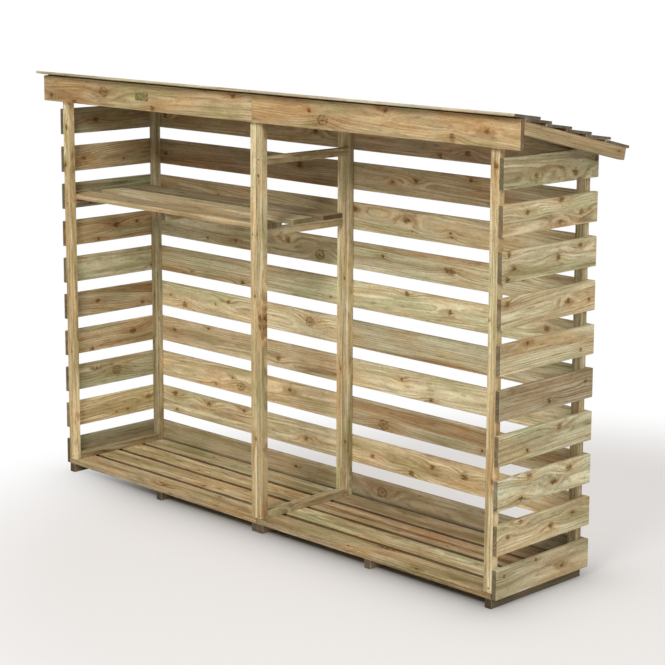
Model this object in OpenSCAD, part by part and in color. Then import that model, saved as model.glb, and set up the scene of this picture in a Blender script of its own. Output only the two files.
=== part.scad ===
// Double log store in pressure-treated softwood: two slatted bays side by side on a row of bearers,
// a board shelf in the left bay and a lapped board roof that falls to the back.
// Millimetres, +Z up. The open front faces -Y and X runs along the length.
// The origin is on the ground, under the middle of the outline.

/* [Frame] */
// Length over the outer faces of the end posts
frame_w = 2230; // [1600:10:3000]
// Depth from the front of the front posts to the back of the back posts
frame_d = 463; // [420:1:520]
// Width of an end post along the length
post_w = 36; // [28:1:60]
// Depth of every post, front to back
post_d = 28; // [22:1:50]
// Width of each of the paired centre posts
centre_post_w = 29.5; // [22:0.5:50]
// Height of the rails that tie a front post to a back post
rail_h = 29; // [20:1:50]
// How far the centre top rail reaches up behind the top slat
top_rail_lap = 9; // [0:1:25]
// Open joint where the boards of the left and the right half meet
half_joint = 1.5; // [1:0.5:6]
// Chamfer along the edges of the planed timber
arris = 1.5; // [0.5:0.5:3]

/* [Floor] */
// Width of a bearer
bearer_w = 29; // [20:1:60]
// Height of a bearer
bearer_h = 34; // [20:1:70]
// Thickness of the deck boards
deck_t = 19; // [12:1:30]
// Open gap between deck boards
deck_gap = 21; // [4:1:40]
// How far the deck stands in front of the posts
deck_nose = 3; // [0:1:15]

/* [Slats] */
// Height of a side or back slat
slat_h = 100; // [60:1:120]
// Open gap between slats
slat_gap = 48; // [30:1:60]
// Thickness of a slat
slat_t = 18; // [10:1:30]

/* [Shelf] */
// Height of the underside of the shelf boards above the ground
shelf_z = 1112; // [400:1:1250]
// Width of a shelf board
shelf_board_w = 100; // [60:1:120]
// Thickness of a shelf board
shelf_t = 18; // [10:1:30]
// Clearance round the shelf boards
shelf_clear = 0.5; // [0.5:0.5:3]
// How far the batten under the shelf stops short of its front and back edges
batten_set = 7; // [2:1:30]

/* [Fascia] */
// Height of the fascia
fascia_h = 98; // [70:1:140]
// Thickness of the fascia
fascia_t = 18; // [10:1:30]
// How far the fascia runs past the end posts
fascia_side = 96; // [70:1:160]
// Clearance between the top of the fascia and the roof
fascia_clear = 2; // [1:0.5:6]

/* [Roof] */
// Fall of the rafters to the back, in degrees
roof_pitch = 13.2; // [10:0.1:16]
// Open gap between the top slats and the roof boards at the back
roof_gap = 8.5; // [4:0.5:40]
// Depth of a rafter, square to its length
rafter_h = 41; // [30:1:60]
// Thickness of the end rafters that close the roof's sides
barge_t = 28; // [18:1:40]
// How far the end rafters run behind the back posts
barge_back = 59; // [30:1:65]
// Width of a roof board
roof_board_w = 128; // [125:1:160]
// Thickness of a roof board
roof_board_t = 9; // [6:0.5:14]
// How far the roof boards run behind the back posts
roof_back = 69; // [66:1:100]
// How far the roof boards run past the end rafters
roof_side = 3; // [0:1:30]
// How far the front board laps over the second one
cap_lap = 70; // [40:1:100]
// Gap between the fascia and the front edge of the second board
course_start = 3; // [1:0.5:8]
// Clearance between lapped boards
lap_clear = 0.2; // [0.1:0.1:0.5]

/* [Hidden] */
slat_count = 10;
deck_count = 4;
shelf_count = 3;
lapped_courses = 5;
treated = "#b9a272";
treated_pale = "#c8b484";
treated_shade = "#8f7d58";

frame_x = frame_w / 2;
half_x = half_joint / 2;
deck_top = bearer_h + deck_t;
deck_board_w = (frame_d + deck_nose - (deck_count - 1) * deck_gap) / deck_count;
slat_pitch = slat_h + slat_gap;
slat_top = bearer_h + (slat_count - 1) * slat_pitch + slat_h;
top_rail_z = slat_top - slat_h + top_rail_lap;
back_post_y = frame_d - post_d;
shelf_run = back_post_y - post_d - 2 * shelf_clear;
shelf_pitch = (shelf_run - shelf_board_w) / (shelf_count - 1);
batten_x = -(frame_x - post_w) / 2 - centre_post_w;
fascia_x = frame_x + fascia_side;
roof_x = fascia_x + roof_side;

// Top line of the rafters: its height at the front face of the posts and at any depth
rafter_front_z = slat_top + roof_gap + tan(roof_pitch) * (frame_d + slat_t);
function rafter_z(y) = rafter_front_z - tan(roof_pitch) * y;
rafter_drop = rafter_h / cos(roof_pitch);

// Lapped courses: the last board lies flat on the rafters, each one above it rests its front edge
// on the rafters and its back edge on the board below
last_course_s = (frame_d + roof_back) / cos(roof_pitch) - roof_board_w;
first_course_s = course_start / cos(roof_pitch);
course_step = (last_course_s - first_course_s) / (lapped_courses - 1);
lap_tilt = asin((roof_board_t + lap_clear) / course_step);
board_fall = roof_pitch - lap_tilt;

// Second board's front lower corner, which also carries the front board
second_y = first_course_s * cos(roof_pitch);
second_z = rafter_z(second_y);
cap_u = cap_lap - roof_board_w;
cap_v = roof_board_t + lap_clear;
function cap_underside(y) = second_z - tan(board_fall) * (y - second_y) + cap_v / cos(board_fall);
fascia_top = cap_underside(0) - fascia_clear;

// Outline from the front edge of the roof to its back edge
roof_front_y = second_y + cap_u * cos(board_fall) + cap_v * sin(board_fall);
roof_back_y = frame_d + roof_back + roof_board_t * sin(roof_pitch);
middle_y = (roof_front_y + roof_back_y) / 2;

// Planed section, w by h, with its four edges chamfered
module section(w, h) {
    polygon([
        [arris, 0], [w - arris, 0], [w, arris], [w, h - arris],
        [w - arris, h], [arris, h], [0, h - arris], [0, arris]
    ]);
}

// Timber along X from x0 to x1, d deep and h high
module along_x(x0, x1, y, z, d, h) {
    translate([x0, y, z]) rotate([90, 0, 90]) linear_extrude(x1 - x0) section(d, h);
}

// Timber along Y from y0 to y1, w wide and h high
module along_y(y0, y1, x, z, w, h) {
    translate([x, y1, z]) rotate([90, 0, 0]) linear_extrude(y1 - y0) section(w, h);
}

// Everything is drawn with y = 0 at the front face of the posts, then moved over the origin
module placed() {
    translate([0, -middle_y, 0]) children();
}

module bearer(x) {
    color(treated_shade) placed() along_y(0, frame_d, x, 0, bearer_w, bearer_h);
}

module deck(x0, x1) {
    color(treated) placed()
        for (i = [0 : deck_count - 1])
            along_x(x0, x1, i * (deck_board_w + deck_gap) - deck_nose, bearer_h, deck_board_w, deck_t);
}

// Post on the deck, its top cut to the slope of the rafter that it carries
module post(x, y, w) {
    color(treated_pale) placed() intersection() {
        translate([x, y, deck_top]) linear_extrude(rafter_front_z) section(w, post_d);
        translate([x, 0, 0]) rotate([90, 0, 90]) linear_extrude(w)
            polygon([
                [y, 0], [y + post_d, 0],
                [y + post_d, rafter_z(y + post_d) - rafter_drop], [y, rafter_z(y) - rafter_drop]
            ]);
    }
}

// Rail between a front post and a back post
module rail(x, z, w) {
    color(treated) placed() along_y(post_d, back_post_y, x, z, w, rail_h);
}

module shelf_board(i) {
    color(treated) placed()
        along_x(-frame_x + shelf_clear, -half_x, post_d + shelf_clear + i * shelf_pitch, shelf_z,
            shelf_board_w, shelf_t);
}

// Batten that ties the shelf boards together, under the middle of the bay
module shelf_batten() {
    y0 = post_d + shelf_clear + batten_set;
    color(treated) placed()
        along_y(y0, y0 + shelf_run - 2 * batten_set, batten_x, shelf_z - rail_h, centre_post_w, rail_h);
}

module side_slats(x) {
    color(treated) placed()
        for (i = [0 : slat_count - 1])
            along_y(0, frame_d + slat_t, x, bearer_h + i * slat_pitch, slat_t, slat_h);
}

module back_slats(x0, x1) {
    color(treated) placed()
        for (i = [0 : slat_count - 1])
            along_x(x0, x1, frame_d, bearer_h + i * slat_pitch, slat_t, slat_h);
}

module fascia(x0, x1) {
    color(treated_pale) placed() along_x(x0, x1, -fascia_t, fascia_top - fascia_h, fascia_t, fascia_h);
}

// Rafter from the fascia to a back end that is cut square to its length
module barge_rafter(x) {
    back_y = frame_d + barge_back;
    color(treated) placed() translate([x, 0, 0]) rotate([90, 0, 90]) linear_extrude(barge_t)
        polygon([
            [0, rafter_z(0) - rafter_drop],
            [back_y - rafter_h * sin(roof_pitch), rafter_z(back_y) - rafter_h * cos(roof_pitch)],
            [back_y, rafter_z(back_y)], [0, rafter_z(0)]
        ]);
}

// Rafter on a front and a back post, cut plumb at both ends
module post_rafter(x, w) {
    color(treated_shade) placed() translate([x, 0, 0]) rotate([90, 0, 90]) linear_extrude(w)
        polygon([
            [0, rafter_z(0) - rafter_drop], [frame_d, rafter_z(frame_d) - rafter_drop],
            [frame_d, rafter_z(frame_d)], [0, rafter_z(0)]
        ]);
}

// One course of the roof: a left and a right board, drawn with the front lower corner at (y, z).
// u and v move the course along and square to its own slope.
module roof_course(y, z, fall, u = 0, v = 0) {
    color(treated_shade) placed() translate([0, y, z]) rotate([-fall, 0, 0]) {
        along_x(-roof_x, -half_x, u, v, roof_board_w, roof_board_t);
        along_x(half_x, roof_x, u, v, roof_board_w, roof_board_t);
    }
}

// Course that rests on the rafters, counted from the second board of the roof
module lapped_course(i, fall) {
    s = first_course_s + i * course_step;
    roof_course(s * cos(roof_pitch), rafter_z(s * cos(roof_pitch)), fall);
}

module bearer_left_end() { bearer(-frame_x); }
module bearer_left_middle() { bearer(-(frame_x + bearer_w) / 2); }
module bearer_left_inner() { bearer(-bearer_w); }
module bearer_right_inner() { bearer(0); }
module bearer_right_middle() { bearer((frame_x - bearer_w) / 2); }
module bearer_right_end() { bearer(frame_x - bearer_w); }

module deck_left() { deck(-frame_x, -half_x); }
module deck_right() { deck(half_x, frame_x); }

module front_post_left() { post(-frame_x, 0, post_w); }
module front_post_left_inner() { post(-centre_post_w, 0, centre_post_w); }
module front_post_right_inner() { post(0, 0, centre_post_w); }
module front_post_right() { post(frame_x - post_w, 0, post_w); }
module back_post_left() { post(-frame_x, back_post_y, post_w); }
module back_post_left_inner() { post(-centre_post_w, back_post_y, centre_post_w); }
module back_post_right_inner() { post(0, back_post_y, centre_post_w); }
module back_post_right() { post(frame_x - post_w, back_post_y, post_w); }

module bottom_rail_left() { rail(-frame_x, deck_top, post_w); }
module bottom_rail_centre() { rail(0, deck_top, centre_post_w); }
module bottom_rail_right() { rail(frame_x - post_w, deck_top, post_w); }
module top_rail_centre() { rail(0, top_rail_z - rail_h, centre_post_w); }
module shelf_rail_left() { rail(-frame_x, shelf_z - rail_h, post_w); }
module shelf_rail_centre() { rail(-centre_post_w, shelf_z - rail_h, centre_post_w); }

module shelf_board_front() { shelf_board(0); }
module shelf_board_middle() { shelf_board(1); }
module shelf_board_back() { shelf_board(2); }

module side_slats_left() { side_slats(-frame_x - slat_t); }
module side_slats_right() { side_slats(frame_x); }
module back_slats_left() { back_slats(-frame_x, -half_x); }
module back_slats_right() { back_slats(half_x, frame_x); }

module fascia_left() { fascia(-fascia_x, -half_x); }
module fascia_right() { fascia(half_x, fascia_x); }

module barge_rafter_left() { barge_rafter(-fascia_x); }
module barge_rafter_right() { barge_rafter(fascia_x - barge_t); }
module side_rafter_left() { post_rafter(-frame_x, post_w); }
module side_rafter_right() { post_rafter(frame_x - post_w, post_w); }
module centre_rafter_left() { post_rafter(-centre_post_w, centre_post_w); }
module centre_rafter_right() { post_rafter(0, centre_post_w); }

module roof_course_1() { roof_course(second_y, second_z, board_fall, cap_u, cap_v); }
module roof_course_2() { lapped_course(0, board_fall); }
module roof_course_3() { lapped_course(1, board_fall); }
module roof_course_4() { lapped_course(2, board_fall); }
module roof_course_5() { lapped_course(3, board_fall); }
module roof_course_6() { lapped_course(lapped_courses - 1, roof_pitch); }

bearer_left_end();
bearer_left_middle();
bearer_left_inner();
bearer_right_inner();
bearer_right_middle();
bearer_right_end();
deck_left();
deck_right();
front_post_left();
front_post_left_inner();
front_post_right_inner();
front_post_right();
back_post_left();
back_post_left_inner();
back_post_right_inner();
back_post_right();
bottom_rail_left();
bottom_rail_centre();
bottom_rail_right();
top_rail_centre();
shelf_rail_left();
shelf_rail_centre();
shelf_batten();
shelf_board_front();
shelf_board_middle();
shelf_board_back();
side_slats_left();
side_slats_right();
back_slats_left();
back_slats_right();
fascia_left();
fascia_right();
barge_rafter_left();
barge_rafter_right();
side_rafter_left();
side_rafter_right();
centre_rafter_left();
centre_rafter_right();
roof_course_1();
roof_course_2();
roof_course_3();
roof_course_4();
roof_course_5();
roof_course_6();
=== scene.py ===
"""Looks of an open-fronted double log store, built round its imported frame.

Every CAD node is redrawn as the timbers that it holds. Each timber is cut across its length, eased at its edges and
bowed a little, and it carries its own grain, tone and knots as attributes that the timber materials read. Nails, a
blank plate, a pale floor, soft light and the camera complete the scene.
"""

import logging
import math
import random
import zlib
from collections.abc import Sequence
from dataclasses import dataclass, field
from enum import Enum

import bmesh
import bpy
from mathutils import Matrix, Vector, noise


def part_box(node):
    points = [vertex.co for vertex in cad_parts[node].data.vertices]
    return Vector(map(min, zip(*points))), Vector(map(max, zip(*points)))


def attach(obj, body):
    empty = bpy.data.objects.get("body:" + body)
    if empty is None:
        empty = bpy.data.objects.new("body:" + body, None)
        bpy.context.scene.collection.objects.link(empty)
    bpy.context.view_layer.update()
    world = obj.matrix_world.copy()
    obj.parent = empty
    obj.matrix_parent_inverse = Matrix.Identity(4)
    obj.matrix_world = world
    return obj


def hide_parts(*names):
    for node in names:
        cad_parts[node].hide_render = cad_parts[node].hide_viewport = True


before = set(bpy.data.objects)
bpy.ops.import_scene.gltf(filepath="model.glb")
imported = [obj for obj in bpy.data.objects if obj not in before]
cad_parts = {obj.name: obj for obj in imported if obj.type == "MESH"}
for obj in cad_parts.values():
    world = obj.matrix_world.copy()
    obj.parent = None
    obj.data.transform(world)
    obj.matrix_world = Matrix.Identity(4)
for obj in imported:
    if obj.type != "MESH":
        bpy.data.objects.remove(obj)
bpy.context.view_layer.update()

LOG = logging.getLogger("log_store")
BODY = "root"
# Side of the photograph in pixels, and width of the camera's sensor in millimetres
PHOTO_SIDE, SENSOR = 665.0, 36.0
# Attributes that hold a board's knots, and what one holds that has no knot
KNOT_NAMES = ("knot_a", "knot_b", "knot_c", "knot_d", "knot_e")
NO_KNOT = Vector((9.0, 9.0, 0.01))
# How much wider a knot is drawn than its listed radius
KNOT_SPREAD = 1.2
# Drawn radius from which a knot is pale in a ring of bark, and up to which it is dark, in metres
RING_KNOT, DARK_KNOT = 0.0158, 0.0150
# How far apart the boards lie in the noise that they share, for their grain and for their rings
GRAIN_SPREAD, RING_SPREAD = 37.0, 53.0
# Heights over a board's lower edge where its painted foot shade begins and where it is full, in metres
FOOT_SHADE_TOP, FOOT_SHADE_FULL = 0.034, 0.020
# Where a board's fade, a painted shadow towards its right end, begins and how long it takes to be full, as shares of
# half its length
RIGHT_SHADE_START, RIGHT_SHADE_RUN = 0.5, 0.3
# Least share of its tone that a board's own stray leaves, and the most that it adds to that
TONE_LEAST, TONE_RUN = 0.97, 0.06
# Radius of the nail heads in the front posts, in metres
POST_HEAD = 0.0036
# Width of a worn edge in metres, and the colour of the wood there
RIM_WIDTH, BARE_WOOD = 0.004, (0.62, 0.53, 0.37, 1.0)
WHITE, BLACK = (1.0, 1.0, 1.0, 1.0), (0.0, 0.0, 0.0, 1.0)

Paint = tuple[float, float, float, float]


def screen(code: str) -> Paint:
    """Turn a screen colour into the linear one that the shaders use.

    Args:
        code: six hexadecimal digits, red first.

    Returns:
        Linear red, green and blue, with an alpha of 1.
    """
    shares = [int(code[i:i + 2], 16) / 255.0 for i in (0, 2, 4)]
    red, green, blue = (s / 12.92 if s <= 0.04045 else ((s + 0.055) / 1.055) ** 2.4 for s in shares)
    return red, green, blue, 1.0


class Tone(Enum):
    """Colour that a treated board has between its growth rings."""

    STRAW = "d9cfae"
    OLIVE = "cfc9aa"
    MOSS = "c4c1a3"
    TAN = "d7c7a4"
    ROSE = "d1bc9d"
    UMBER = "c1ae91"
    DRAB = "c3b799"
    WHEAT = "d5caa7"
    SAND = "d6bf95"
    ASH = "cfc9b2"
    SAGE = "c5c8b0"

    @property
    def paint(self) -> Paint:
        """Linear colour of the tone."""
        return screen(self.value)


class Graph:
    """Adds nodes to one shader tree and joins them."""

    def __init__(self, tree: bpy.types.NodeTree) -> None:
        """Keep the tree that the nodes go into."""
        self.tree = tree

    def add(self, kind: str, **settings: object) -> bpy.types.Node:
        """Add one shader node.

        Args:
            kind: the node's type, without its ShaderNode prefix.
            **settings: properties to set on the node.

        Returns:
            The new node.
        """
        node = self.tree.nodes.new("ShaderNode" + kind)
        for name, value in settings.items():
            setattr(node, name, value)
        return node

    def feed(self, socket: bpy.types.NodeSocket, value: object) -> None:
        """Link a socket to an input, or set the input's own value.

        Args:
            socket: the input.
            value: an output socket, or a plain value.
        """
        if isinstance(value, bpy.types.NodeSocket):
            self.tree.links.new(value, socket)
        else:
            socket.default_value = value

    def math(self, operation: str, *values: object, clamp: bool = False) -> bpy.types.NodeSocket:
        """Add a Math node.

        Args:
            operation: the node's operation.
            *values: its inputs in order.
            clamp: whether the result is held between 0 and 1.

        Returns:
            The result.
        """
        node = self.add("Math", operation=operation, use_clamp=clamp)
        for socket, value in zip(node.inputs, values):
            self.feed(socket, value)
        return node.outputs[0]

    def vector(self, operation: str, *values: object) -> bpy.types.NodeSocket:
        """Add a Vector Math node.

        Args:
            operation: the node's operation.
            *values: its inputs in order.

        Returns:
            The vector, or the number where the operation gives one.
        """
        node = self.add("VectorMath", operation=operation)
        for socket, value in zip(node.inputs, values):
            self.feed(socket, value)
        return node.outputs["Value" if operation in ("LENGTH", "DOT_PRODUCT") else "Vector"]

    def times(self, first: object, second: object) -> bpy.types.NodeSocket:
        """Multiply two values."""
        return self.math("MULTIPLY", first, second)

    def plus(self, first: object, second: object) -> bpy.types.NodeSocket:
        """Add two values."""
        return self.math("ADD", first, second)

    def line(self, value: object, slope: object, start: object) -> bpy.types.NodeSocket:
        """Multiply a value by a slope and add a start."""
        return self.math("MULTIPLY_ADD", value, slope, start)

    def length(self, first: object, second: object) -> bpy.types.NodeSocket:
        """Find how far two ways at right angles reach together."""
        return self.math("SQRT", self.plus(self.times(first, first), self.times(second, second)))

    def mix_value(self, share: object, low: object, high: object) -> bpy.types.NodeSocket:
        """Go from a low to a high value by a share."""
        return self.line(self.math("SUBTRACT", high, low), share, low)

    def scatter(self, place: object, seed: object, spread: float) -> bpy.types.NodeSocket:
        """Move a place by a board's seed, so that each board has its own noise."""
        return self.vector("MULTIPLY_ADD", seed, (spread, spread, spread), place)

    def smooth(self, value: object, low: object, high: object) -> bpy.types.NodeSocket:
        """Rise smoothly from 0 at low to 1 at high.

        Args:
            value: what is measured.
            low: where the rise starts.
            high: where it ends, which may be below low.

        Returns:
            The share from 0 to 1.
        """
        node = self.add("MapRange", interpolation_type="SMOOTHSTEP")
        for name, given in (("Value", value), ("From Min", low), ("From Max", high)):
            self.feed(node.inputs[name], given)
        return node.outputs[0]

    def mix(self, share: object, first: object, second: object, blend: str = "MIX") -> bpy.types.NodeSocket:
        """Mix two colours.

        Args:
            share: how much of the second colour is laid on.
            first: the colour below.
            second: the colour laid on it.
            blend: the way of mixing.

        Returns:
            The mixed colour.
        """
        node = self.add("Mix", data_type="RGBA", blend_type=blend)
        for index, given in ((0, share), (6, first), (7, second)):
            self.feed(node.inputs[index], given)
        return node.outputs[2]

    def noise(self, place: object, stretch: Sequence[float], detail: float = 2.0) -> bpy.types.NodeSocket:
        """Add noise that is drawn out by a different amount on each axis.

        Args:
            place: the point in metres.
            stretch: how many waves a metre there are on each axis.
            detail: octaves of the noise.

        Returns:
            The noise, about 0.5 on average.
        """
        node = self.add("TexNoise")
        self.feed(node.inputs["Vector"], self.vector("MULTIPLY", place, stretch))
        node.inputs["Scale"].default_value = 1.0
        node.inputs["Detail"].default_value = detail
        return node.outputs[0]

    def blend(self, share: object, first: bpy.types.Node, second: bpy.types.Node, output: bpy.types.Node) -> None:
        """Show a blend of two shaders.

        Args:
            share: how much of the second shader shows.
            first: the first shader.
            second: the second shader.
            output: the tree's output node.
        """
        node = self.add("MixShader")
        for socket, value in zip(node.inputs, (share, first.outputs[0], second.outputs[0])):
            self.feed(socket, value)
        self.feed(output.inputs["Surface"], node.outputs[0])

    def parts(self, vector: object) -> tuple[bpy.types.NodeSocket, ...]:
        """Split a vector into its three numbers."""
        node = self.add("SeparateXYZ")
        self.feed(node.inputs[0], vector)
        return tuple(node.outputs)

    def attribute(self, name: str, output: str = "Vector") -> bpy.types.NodeSocket:
        """Read an attribute of the mesh.

        Args:
            name: the attribute.
            output: which output of the node is read.

        Returns:
            The attribute's value on the surface.
        """
        return self.add("Attribute", attribute_name=name).outputs[output]

    def group(self, tree: bpy.types.NodeTree, **inputs: object) -> bpy.types.Node:
        """Place a node group.

        Args:
            tree: the group.
            **inputs: its inputs, with _ for a space in their names.

        Returns:
            The group's node.
        """
        node = self.add("Group", node_tree=tree)
        for name, value in inputs.items():
            self.feed(node.inputs[name.replace("_", " ")], value)
        return node


class Effect:
    """A shader node group that several materials share."""

    def __init__(self, name: str, inputs: dict[str, str], outputs: dict[str, str]) -> None:
        """Make the group and its sockets.

        Args:
            name: the group's name.
            inputs: kind of each input by its name: Float, Vector or Color.
            outputs: kind of each output by its name.
        """
        self.tree = bpy.data.node_groups.new(name, "ShaderNodeTree")
        for side, sockets in (("INPUT", inputs), ("OUTPUT", outputs)):
            for label, kind in sockets.items():
                self.tree.interface.new_socket(name=label, in_out=side, socket_type="NodeSocket" + kind)
        self.graph = Graph(self.tree)
        self.given = self.tree.nodes.new("NodeGroupInput").outputs
        self.result = self.tree.nodes.new("NodeGroupOutput").inputs

    def put(self, **values: object) -> None:
        """Join results to the group's outputs, with _ for a space in their names."""
        for name, value in values.items():
            self.graph.feed(self.result[name.replace("_", " ")], value)


class TimberEffects:
    """Node groups for grain, knots and edges, and the timber face that they make up."""

    def __init__(self) -> None:
        """Build the groups, the small ones first."""
        self.clouds = self.make_clouds()
        self.grain = self.make_grain()
        self.knot = self.make_knot()
        self.rings = self.make_rings()
        self.rim = self.make_rim()
        self.face = self.make_face()

    def make_clouds(self) -> bpy.types.NodeTree:
        """Make the noise that doesn't follow the rings: blotches, mottle, cracks, and the warp of the knots.

        Returns:
            The group.
        """
        waves = {"Blotch": ((3.2, 11.0, 11.0), 2.0), "Mottle": ((13.0, 52.0, 52.0), 3.0),
                 "Speck": ((75.0, 240.0, 240.0), 2.0), "Crack": ((95.0, 190.0, 190.0), 2.0)}
        effect = Effect("timber_clouds", {"Local": "Vector", "Seed": "Vector"},
                        {**{name: "Float" for name in waves}, "Warp": "Vector"})
        g = effect.graph
        moved = g.scatter(effect.given["Local"], effect.given["Seed"], GRAIN_SPREAD)
        effect.put(**{name: g.noise(moved, *wave) for name, wave in waves.items()})
        warp = g.noise(moved, (55.0, 90.0, 90.0), 2.0).node.outputs["Color"]
        effect.put(Warp=g.vector("SUBTRACT", warp, (0.5, 0.5, 0.5)))
        return effect.tree

    def make_grain(self) -> bpy.types.NodeTree:
        """Make streaks that run with the grain and bend with the rings, from broad bands down to fibres.

        Returns:
            The group.
        """
        waves = {"Broad": ((1.3, 34.0, 5.0), 3.0), "Fine": ((4.5, 170.0, 30.0), 2.0),
                 "Fibre": ((16.0, 800.0, 200.0), 1.0), "Fleck": ((19.0, 230.0, 60.0), 1.0)}
        effect = Effect("timber_grain", {"Local": "Vector", "Seed": "Vector", "Radius": "Float"},
                        {name: "Float" for name in waves})
        g = effect.graph
        x, y, _ = g.parts(effect.given["Local"])
        bent = g.add("CombineXYZ")
        for socket, value in zip(bent.inputs, (x, effect.given["Radius"], y)):
            g.feed(socket, value)
        moved = g.scatter(bent.outputs[0], effect.given["Seed"], GRAIN_SPREAD)
        effect.put(**{name: g.noise(moved, *wave) for name, wave in waves.items()})
        return effect.tree

    def make_knot(self) -> bpy.types.NodeTree:
        """Make one knot from its place, which holds the way to it along and across the board, and its radius.

        A small knot is dark and cracked. A large one is pale, with a dark spot, in an uneven ring of bark.

        Returns:
            The group. Lift is what the knot adds to the distance from the pith, so that the rings flow round it.
        """
        effect = Effect("timber_knot", {"Place": "Vector", "Warp": "Vector", "Crack": "Float"},
                        {"Core": "Float", "Dark": "Float", "Halo": "Float", "Lift": "Float"})
        g, cracked = effect.graph, effect.given["Crack"]
        along, across, radius = g.parts(effect.given["Place"])
        warp_along, warp_across, _ = g.parts(effect.given["Warp"])

        def reach(shorten: float, stray: object) -> bpy.types.NodeSocket:
            """Distance from the knot in radii, shortened along the grain and led astray by the warp."""
            most = g.times(radius, stray)
            drawn = g.times(g.line(warp_along, most, along), shorten)
            return g.math("DIVIDE", g.length(drawn, g.line(warp_across, most, across)), radius)

        small = g.smooth(radius, RING_KNOT, DARK_KNOT)
        near, far = reach(0.78, g.mix_value(small, 0.6, 1.3)), reach(0.32, 1.0)
        crack = g.times(g.smooth(cracked, 0.48, 0.58), g.smooth(near, 1.3, 0.6))
        heart = g.times(g.smooth(near, 0.65, 0.1), 0.7)
        bark = g.times(g.smooth(near, 0.60, 0.95), g.smooth(near, 1.35, 1.05))
        uneven = g.times(bark, g.smooth(cracked, 0.32, 0.60))
        spot = g.times(g.smooth(near, 0.6, 0.25), g.smooth(cracked, 0.40, 0.56))
        dark = g.mix_value(small, g.math("MAXIMUM", uneven, g.times(spot, 0.8)), g.math("MAXIMUM", crack, heart))
        core = g.times(g.smooth(near, 1.25, 0.35), g.mix_value(small, 0.4, 1.0))
        fall = g.math("EXPONENT", g.times(g.times(far, far), -0.36))
        effect.put(Core=core, Dark=dark, Halo=g.smooth(far, 2.6, 0.3), Lift=g.times(g.times(fall, radius), 1.1))
        return effect.tree

    def make_rings(self) -> bpy.types.NodeTree:
        """Make growth rings round a pith that lies beside or under the board and leans along it.

        Returns:
            The group. Late is the dark part of each ring, and Radius the distance from the pith in metres.
        """
        effect = Effect("timber_rings", {"Local": "Vector", "Seed": "Vector", "Pith": "Vector", "Lift": "Float",
                                         "Spacing": "Float"}, {"Late": "Float", "Radius": "Float"})
        g = effect.graph
        local, seed = effect.given["Local"], effect.given["Seed"]
        moved = g.scatter(local, seed, RING_SPREAD)

        def waver(most: float, stretch: Sequence[float], detail: float) -> bpy.types.NodeSocket:
            """Noise that leads the rings astray by up to a distance either way, in metres."""
            return g.line(g.noise(moved, stretch, detail), 2.0 * most, -most)

        x, y, z = g.parts(local)
        pith_y, pith_z, lean = g.parts(effect.given["Pith"])
        off_y = g.math("SUBTRACT", g.math("SUBTRACT", y, pith_y), g.times(x, lean))
        radius = g.length(off_y, g.math("SUBTRACT", z, pith_z))
        slow, quick = waver(0.007, (1.3, 8.0, 8.0), 1.0), waver(0.0012, (6.0, 50.0, 50.0), 2.0)
        wavering = g.plus(g.plus(radius, slow), g.plus(quick, effect.given["Lift"]))
        count = g.math("DIVIDE", wavering, effect.given["Spacing"])
        share = g.math("FRACT", count)
        year = g.add("TexWhiteNoise", noise_dimensions="1D")
        g.feed(year.inputs["W"], g.math("FLOOR", count))
        late = g.times(g.smooth(share, 0.25, 0.85), g.smooth(share, 1.0, 0.88))
        strength = g.line(year.outputs["Value"], 0.75, 0.25)
        effect.put(Late=g.times(late, strength), Radius=wavering)
        return effect.tree

    def make_rim(self) -> bpy.types.NodeTree:
        """Make a mask of a board's edges, from the place in the board and its half sizes.

        Returns:
            The group.
        """
        effect = Effect("timber_rim", {"Local": "Vector", "Half": "Vector", "Width": "Float"}, {"Edge": "Float"})
        g = effect.graph
        inward = g.vector("SUBTRACT", effect.given["Half"], g.vector("ABSOLUTE", effect.given["Local"]))
        near = [g.smooth(part, effect.given["Width"], 0.0) for part in g.parts(inward)]
        both = g.plus(g.plus(near[0], near[1]), near[2])
        effect.put(Edge=g.math("SUBTRACT", both, 1.0, clamp=True))
        return effect.tree

    def make_face(self) -> bpy.types.NodeTree:
        """Make the whole timber face from the board's attributes and the depth of each effect.

        Returns:
            The group, with a colour, a roughness and a height for a Bump node.
        """
        depths = ("Ring Spacing", "Ring Depth", "Streak Depth", "Heart Depth", "Stain Depth", "End Depth", "Edge Depth")
        effect = Effect("timber_face", {**{name: "Float" for name in depths}, "End Shade": "Color"},
                        {"Colour": "Color", "Roughness": "Float", "Height": "Float"})
        g, given = effect.graph, effect.given
        local, seed = g.attribute("local"), g.attribute("seed")
        tone = g.add("Attribute", attribute_name="tone")
        clouds = g.group(self.clouds, Local=local, Seed=seed).outputs
        knots = [g.group(self.knot, Place=g.attribute(name), Warp=clouds["Warp"], Crack=clouds["Crack"]).outputs
                 for name in KNOT_NAMES]

        def most(name: str) -> bpy.types.NodeSocket:
            """Largest value of one output over the board's knots."""
            found = knots[0][name]
            for other in knots[1:]:
                found = g.math("MAXIMUM", found, other[name])
            return found

        core, dark, halo = most("Core"), most("Dark"), most("Halo")
        rings = g.group(self.rings, Local=local, Seed=seed, Pith=g.attribute("pith"), Lift=most("Lift"),
                        Spacing=given["Ring Spacing"]).outputs
        streaks = g.group(self.grain, Local=local, Seed=seed, Radius=rings["Radius"]).outputs
        heart_edge = g.line(streaks["Broad"], 0.05, -0.025)
        heart_way = g.math("SUBTRACT", g.plus(rings["Radius"], heart_edge), tone.outputs["Alpha"])

        strong = g.times(rings["Late"], g.smooth(clouds["Mottle"], 0.28, 0.66))
        stain, streak = given["Stain Depth"], given["Streak Depth"]
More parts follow.
